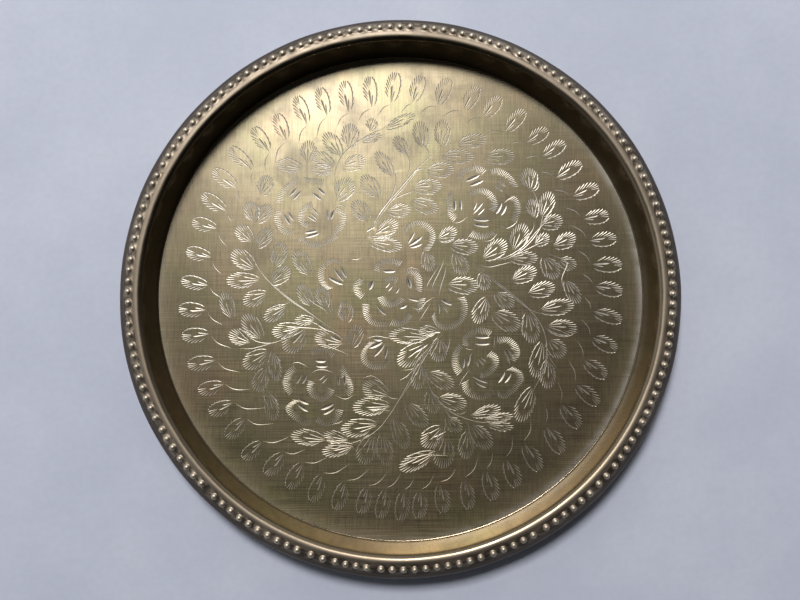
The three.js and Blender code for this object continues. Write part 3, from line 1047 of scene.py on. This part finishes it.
def finish_surface(mesh):
    """Joins the rings that two stretches share, and keeps the edges of the cuts crisp."""
    grid = bmesh.new()
    grid.from_mesh(mesh)
    bmesh.ops.remove_doubles(grid, verts=grid.verts, dist=0.002 * MM)
    loose = [v for v in grid.verts if not v.link_faces]
    bmesh.ops.delete(grid, geom=loose, context="VERTS")
    floor_edge = (FLOOR_R - 0.2) * MM
    for face in grid.faces:
        face.smooth = True
        centre = face.calc_center_median()
        on_floor = math.hypot(centre.x, centre.y) < floor_edge and face.normal.z > 0
        face.material_index = 0 if on_floor else 1
    for edge in grid.edges:
        if len(edge.link_faces) == 2:
            on_floor = all(face.material_index == 0 for face in edge.link_faces)
            limit = CUT_EDGE_ANGLE if on_floor else SHEET_EDGE_ANGLE
            edge.smooth = edge.calc_face_angle() < math.radians(limit)
    grid.to_mesh(mesh)
    grid.free()


# ---- Materials ----


class Nodes:
    """The node tree of a material or the world, with short helpers that make and link its nodes."""

    def __init__(self, owner, place="Object"):
        owner.use_nodes = True
        self.owner = owner
        self.tree = owner.node_tree
        self.place = self.new("ShaderNodeTexCoord").outputs[place]

    def new(self, kind, inputs=None, **settings):
        node = self.tree.nodes.new(kind)
        for name, value in settings.items():
            setattr(node, name, value)
        for name, value in (inputs or {}).items():
            self.feed(node.inputs[name], value)
        return node

    def feed(self, socket, value):
        """Links an output to a socket, or sets the socket to a number or colour."""
        if isinstance(value, bpy.types.NodeSocket):
            self.tree.links.new(value, socket)
        else:
            socket.default_value = value

    def set(self, node="Principled BSDF", **sockets):
        for name, value in sockets.items():
            self.feed(self.tree.nodes[node].inputs[name.replace("_", " ")], value)

    def scaled(self, x, y, z, offset=(0, 0, 0)):
        inputs = {"Vector": self.place, "Scale": (x, y, z), "Location": offset}
        return self.new("ShaderNodeMapping", inputs).outputs["Vector"]

    def noise(self, scale, detail=3.0, rough=0.5, vector=None, distortion=0.0):
        inputs = {"Vector": vector or self.place, "Scale": scale, "Detail": detail}
        inputs.update({"Roughness": rough, "Distortion": distortion})
        return self.new("ShaderNodeTexNoise", inputs).outputs["Fac"]

    def math(self, operation, a, b=0.0):
        return self.new("ShaderNodeMath", {0: a, 1: b}, operation=operation).outputs["Value"]

    def ramp(self, value, low, high, to_low=0.0, to_high=1.0):
        """A smooth change from to_low, where the value is low, to to_high."""
        inputs = {"Value": value, "From Min": low, "From Max": high, "To Min": to_low, "To Max": to_high}
        return self.new("ShaderNodeMapRange", inputs, interpolation_type="SMOOTHSTEP").outputs["Result"]

    def mix(self, factor, a, b, blend="MIX"):
        inputs = {"Factor": factor, "A": a, "B": b}
        return self.new("ShaderNodeMix", inputs, data_type="RGBA", blend_type=blend).outputs["Result"]

    def attribute(self, name):
        return self.new("ShaderNodeAttribute", attribute_name=name).outputs["Fac"]

    def split(self):
        """The place's x and y, in metres."""
        node = self.new("ShaderNodeSeparateXYZ", {"Vector": self.place})
        return node.outputs["X"], node.outputs["Y"]

    def radius(self):
        """Distance from the tray's axis, in metres."""
        x, y = self.split()
        squares = self.math("ADD", self.math("MULTIPLY", x, x), self.math("MULTIPLY", y, y))
        return self.math("SQRT", squares)

    def bump(self, height, distance, strength=1.0, normal=None):
        inputs = {"Height": height, "Distance": distance, "Strength": strength}
        if normal:
            inputs["Normal"] = normal
        return self.new("ShaderNodeBump", inputs).outputs["Normal"]


def rgb(r, g, b):
    return (r, g, b, 1.0)


BRASS = rgb(0.243, 0.196, 0.118)
BRASS_WARM = rgb(0.292, 0.200, 0.118)
BRASS_GREEN = rgb(0.212, 0.188, 0.098)
BRASS_TARNISH_AND_SHADE = rgb(0.138, 0.110, 0.066)
BRASS_PALE_HAZE = rgb(0.44, 0.43, 0.40)
CUT_BRIGHT = rgb(0.64, 0.59, 0.51)
CUT_SHADED = rgb(0.38, 0.335, 0.265)
CUT_CORE = rgb(0.09, 0.065, 0.042)
DIRT = rgb(0.04, 0.03, 0.022)
RIM_BRASS = rgb(0.56, 0.47, 0.37)
RIM_DULL = rgb(0.40, 0.325, 0.25)
RIDGE_SHADE = rgb(0.20, 0.165, 0.125)
RIM_EDGE_SHADE = rgb(0.07, 0.055, 0.045)
WALL_BRASS = rgb(0.32, 0.25, 0.16)
BEAD_CROWN_WEAR_AND_HIGHLIGHT = rgb(0.80, 0.72, 0.57)
BEAD_FOOT_SHADE = rgb(0.10, 0.08, 0.06)
WIRE_BRASS = rgb(0.52, 0.40, 0.22)
WIRE_DULL = rgb(0.28, 0.21, 0.12)
TABLE_DARK = rgb(0.61, 0.65, 0.79)
TABLE_PALE = rgb(0.69, 0.73, 0.86)
TABLE_GRAIN = rgb(0.52, 0.55, 0.64)


def brass_floor():
    """The floor: brushed from side to side and patchy with tarnish, with bare metal in the cuts."""
    n = Nodes(bpy.data.materials.new("brass_floor"))
    radius = n.radius()
    x, y = n.split()
    patches = n.noise(26, 5, 0.62, n.scaled(1, 1.15, 1, (0.3, 0.1, 0)), 0.6)
    clouds = n.noise(46, 5, 0.62, n.scaled(1, 1, 1, (2.1, 0.4, 0)), 0.4)
    warm = n.noise(24, 3, 0.5, n.scaled(1, 0.8, 1, (5.3, 3.1, 0)))
    brushing = n.noise(1, 5, 0.7, n.scaled(26, 2600, 1))
    broad_brushing = n.noise(1, 3, 0.6, n.scaled(9, 620, 1, (0, 7, 0)))
    specks = n.noise(430, 3, 0.6, n.scaled(1, 1, 1, (1, 1, 0)))
    spots = n.noise(120, 2, 0.5, n.scaled(1, 1, 1, (4, 2, 0)))

    colour = n.mix(n.ramp(patches, 0.38, 0.66), BRASS, BRASS_GREEN)
    colour = n.mix(n.ramp(warm, 0.52, 0.74, 0, 0.75), colour, BRASS_WARM)
    colour = n.mix(n.ramp(clouds, 0.44, 0.70, 0, 0.65), colour, BRASS_TARNISH_AND_SHADE)
    colour = n.mix(n.ramp(spots, 0.66, 0.74, 0, 0.45), colour, BRASS_TARNISH_AND_SHADE)
    colour = n.mix(n.ramp(specks, 0.67, 0.76, 0, 0.5), colour, DIRT)
    streaks = n.ramp(brushing, 0.25, 0.75, 0.70, 1.26)
    colour = n.mix(1.0, colour, streaks, "MULTIPLY")
    # Painted shade at both sides, and a painted gradient from lighter at the near side to darker at the far
    # side, with a pale haze along the near right edge.
    aside = n.math("ABSOLUTE", n.math("ADD", x, 0.02))
    colour = n.mix(n.ramp(aside, 0.025, 0.115, 0, 0.58), colour, BRASS_TARNISH_AND_SHADE)
    scratches = n.noise(1, 3, 0.7, n.scaled(1500, 70, 1, (3, 0, 0)))
    colour = n.mix(1.0, colour, n.ramp(scratches, 0.3, 0.7, 0.84, 1.18), "MULTIPLY")
    # Painted light and shade: the floor is lighter towards the near side and darker towards the far side.
    colour = n.mix(1.0, colour, n.ramp(y, -0.10, 0.05, 1.20, 0.93), "MULTIPLY")
    near_right = n.ramp(n.math("SUBTRACT", x, n.math("MULTIPLY", y, 0.5)), 0.03, 0.12, 0.15, 1)
    pale_haze = n.math("MULTIPLY", n.ramp(radius, 0.1285, 0.1335), near_right)
    pale_haze = n.math("MULTIPLY", pale_haze, n.ramp(clouds, 0.3, 0.6, 0.4, 1))
    colour = n.mix(n.math("MULTIPLY", pale_haze, 0.7), colour, BRASS_PALE_HAZE)

    # The cuts hold pale bare metal across the middle of the floor, with painted shade in them towards its
    # near and far sides.
    cut = n.attribute("cut")
    place = n.math("ADD", y, n.math("MULTIPLY", patches, 0.06))
    bare = n.mix(n.ramp(place, -0.04, 0.05), CUT_SHADED, CUT_BRIGHT)
    bare = n.mix(n.ramp(place, 0.085, 0.135), bare, CUT_SHADED)
    in_cut = n.math("MULTIPLY", n.ramp(cut, 0.015, 0.15), n.ramp(specks, 0.28, 0.5, 0.55, 1))
    colour = n.mix(in_cut, colour, bare)
    colour = n.mix(n.ramp(cut, 0.60, 0.95), colour, CUT_CORE)

    rough = n.ramp(clouds, 0.3, 0.75, 0.38, 0.46)
    rough = n.math("ADD", rough, n.ramp(brushing, 0.3, 0.7, -0.04, 0.04))
    rough = n.math("ADD", rough, n.math("MULTIPLY", in_cut, 0.05))
    metal = n.math("SUBTRACT", 1.0, n.math("MULTIPLY", in_cut, 0.25))
    normal = n.bump(brushing, 0.00001, 0.5)
    normal = n.bump(broad_brushing, 0.00002, 0.2, normal)
    normal = n.bump(specks, 0.00002, 0.2, normal)
    n.set(Base_Color=colour, Roughness=rough, Metallic=metal, Normal=normal)
    n.set(Coat_Weight=0.7, Coat_Roughness=0.34)
    return n.owner


def brass_rim():
    """The wall, ridge, flange and underside: duller than the floor, with painted shade on the ridge and the
    darkest painted shade on the rolled edge.
    """
    n = Nodes(bpy.data.materials.new("brass_rim"))
    radius = n.radius()
    patches = n.noise(22, 4, 0.6, n.scaled(1, 1, 1, (3, 7, 1)))
    clouds = n.noise(90, 4, 0.6, n.scaled(1, 1, 1, (8, 1, 4)))
    specks = n.noise(520, 3, 0.6)
    colour = n.mix(n.ramp(patches, 0.35, 0.7), RIM_BRASS, RIM_DULL)
    colour = n.mix(n.ramp(clouds, 0.5, 0.72, 0, 0.45), colour, RIM_DULL)
    colour = n.mix(n.ramp(specks, 0.64, 0.74, 0, 0.5), colour, DIRT)
    # The wall is warmer; painted shade darkens the ridge and lies round the feet of the beads; their crowns
    # are polished, with a painted highlight on them.
    on_wall = n.ramp(radius, 0.1372, 0.1396, 1, 0)
    colour = n.mix(n.ramp(radius, 0.1395, 0.1430, 0.75, 0), colour, RIDGE_SHADE)
    colour = n.mix(n.math("MULTIPLY", on_wall, 0.7), colour, WALL_BRASS)
    crown = n.attribute("crown")
    colour = n.mix(n.ramp(crown, 0.38, 0.0, 0, 0.75), colour, BEAD_FOOT_SHADE)
    colour = n.mix(n.ramp(crown, 0.5, 1.0, 0, 0.8), colour, BEAD_CROWN_WEAR_AND_HIGHLIGHT)
    # Painted shade on the rolled edge, which curves down towards the table.
    colour = n.mix(n.ramp(radius, 0.1450, 0.1478, 0, 0.85), colour, RIM_EDGE_SHADE)
    rough = n.ramp(clouds, 0.3, 0.7, 0.46, 0.55)
    rough = n.math("ADD", rough, n.ramp(crown, 0.5, 1.0, 0, 0.03))
    rough = n.math("SUBTRACT", rough, n.math("MULTIPLY", on_wall, 0.30))
    normal = n.bump(n.noise(260, 4, 0.6), 0.0001, 0.25)
    normal = n.bump(specks, 0.00003, 0.3, normal)
    n.set(Base_Color=colour, Roughness=rough, Metallic=1.0, Normal=normal)
    return n.owner


def brass_wire():
    """The wire in the rolled edge: plain drawn brass, dull with age."""
    n = Nodes(bpy.data.materials.new("brass_wire"))
    drawn = n.noise(300, 4, 0.6)
    tarnish = n.noise(60, 4, 0.6)
    colour = n.mix(n.ramp(tarnish, 0.4, 0.7), WIRE_BRASS, WIRE_DULL)
    rough = n.ramp(drawn, 0.3, 0.7, 0.35, 0.5)
    n.set(Base_Color=colour, Roughness=rough, Metallic=1.0, Normal=n.bump(drawn, 0.00005, 0.4))
    return n.owner


def table_top():
    """The plain pale surface that the tray stands on."""
    n = Nodes(bpy.data.materials.new("table_top"))
    mottle = n.noise(9, 6, 0.62)
    grain = n.noise(260, 3, 0.6)
    colour = n.mix(n.ramp(mottle, 0.35, 0.68), TABLE_DARK, TABLE_PALE)
    colour = n.mix(n.ramp(grain, 0.35, 0.7, 0, 0.16), colour, TABLE_GRAIN)
    n.set(Base_Color=colour, Roughness=0.75, Metallic=0.0, Normal=n.bump(grain, 0.0002, 0.3))
    return n.owner


# ---- The tray, the table, the light and the camera ----


def make_tray():
    pan = mesh_object("brass_pan", tray_sheet())
    pan.data.materials.append(brass_floor())
    pan.data.materials.append(brass_rim())
    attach(pan, "root")
    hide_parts("tray_pan")
    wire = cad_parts["rim_wire"]
    wire.data.materials.clear()
    wire.data.materials.append(brass_wire())


TABLE_SIDE = 6
TABLE_GAP = 0.0002  # between the table and the rest plane, so that the two faces don't coincide


def make_table():
    bpy.ops.mesh.primitive_plane_add(size=TABLE_SIDE, location=(0, 0, -TABLE_GAP))
    table = bpy.context.object
    table.name = "table_top"
    table.data.materials.append(table_top())


WINDOW_PLACE = (-0.28, 0.92, 1.76)
WINDOW_SIDE = 0.5
WINDOW_POWER = 28
WINDOW_COLOUR = (1.0, 0.985, 0.965)
ROOM_COLOUR = rgb(0.94, 0.97, 1.0)


def make_light():
    """A soft high window beyond the tray's far side, and a dim room, lighter low on that side."""
    light = bpy.data.lights.new("window", "AREA")
    light.shape = "RECTANGLE"
    light.size = WINDOW_SIDE
    light.size_y = WINDOW_SIDE
    light.energy = WINDOW_POWER
    light.color = WINDOW_COLOUR
    lamp = bpy.data.objects.new("window", light)
    lamp.location = WINDOW_PLACE
    lamp.rotation_euler = (-Vector(WINDOW_PLACE)).to_track_quat("-Z", "Y").to_euler()
    bpy.context.scene.collection.objects.link(lamp)

    world = bpy.data.worlds.new("room")
    n = Nodes(world, "Generated")

    def facing(toward, low, high, at_low, at_high):
        """A smooth change with the direction, from its value at low to its value at high."""
        dot = n.new("ShaderNodeVectorMath", {0: n.place, 1: toward}, operation="DOT_PRODUCT")
        return n.ramp(dot.outputs["Value"], low, high, at_low, at_high)

    overhead = facing((0, 0, 1), 0.50, 0.94, 0.26, 0.03)
    window_side = facing((-0.50, 0.86, 0), -0.6, 0.8, 0.05, 2.0)
    n.set("Background", Color=ROOM_COLOUR, Strength=n.math("MULTIPLY", overhead, window_side))
    bpy.context.scene.world = world


CAMERA_PLACE = (-0.0007, -0.0321, 0.441)
CAMERA_TILT = 3.8  # degrees from straight down, towards the far side
CAMERA_ROLL = -0.06
CAMERA_LENS = 36  # the sensor is 36 mm wide


def make_camera():
    """Over the tray, a little to the near side, looking almost straight down."""
    data = bpy.data.cameras.new("camera")
    data.sensor_width = 36
    data.lens = CAMERA_LENS
    data.clip_start = 0.01
    data.clip_end = 20
    camera = bpy.data.objects.new("camera", data)
    camera.location = CAMERA_PLACE
    camera.rotation_euler = (math.radians(CAMERA_TILT), math.radians(CAMERA_ROLL), 0)
    bpy.context.scene.collection.objects.link(camera)
    bpy.context.scene.camera = camera


make_tray()
make_table()
make_light()
make_camera()
bpy.context.scene.view_settings.view_transform = "Standard"

bpy.context.view_layer.update()
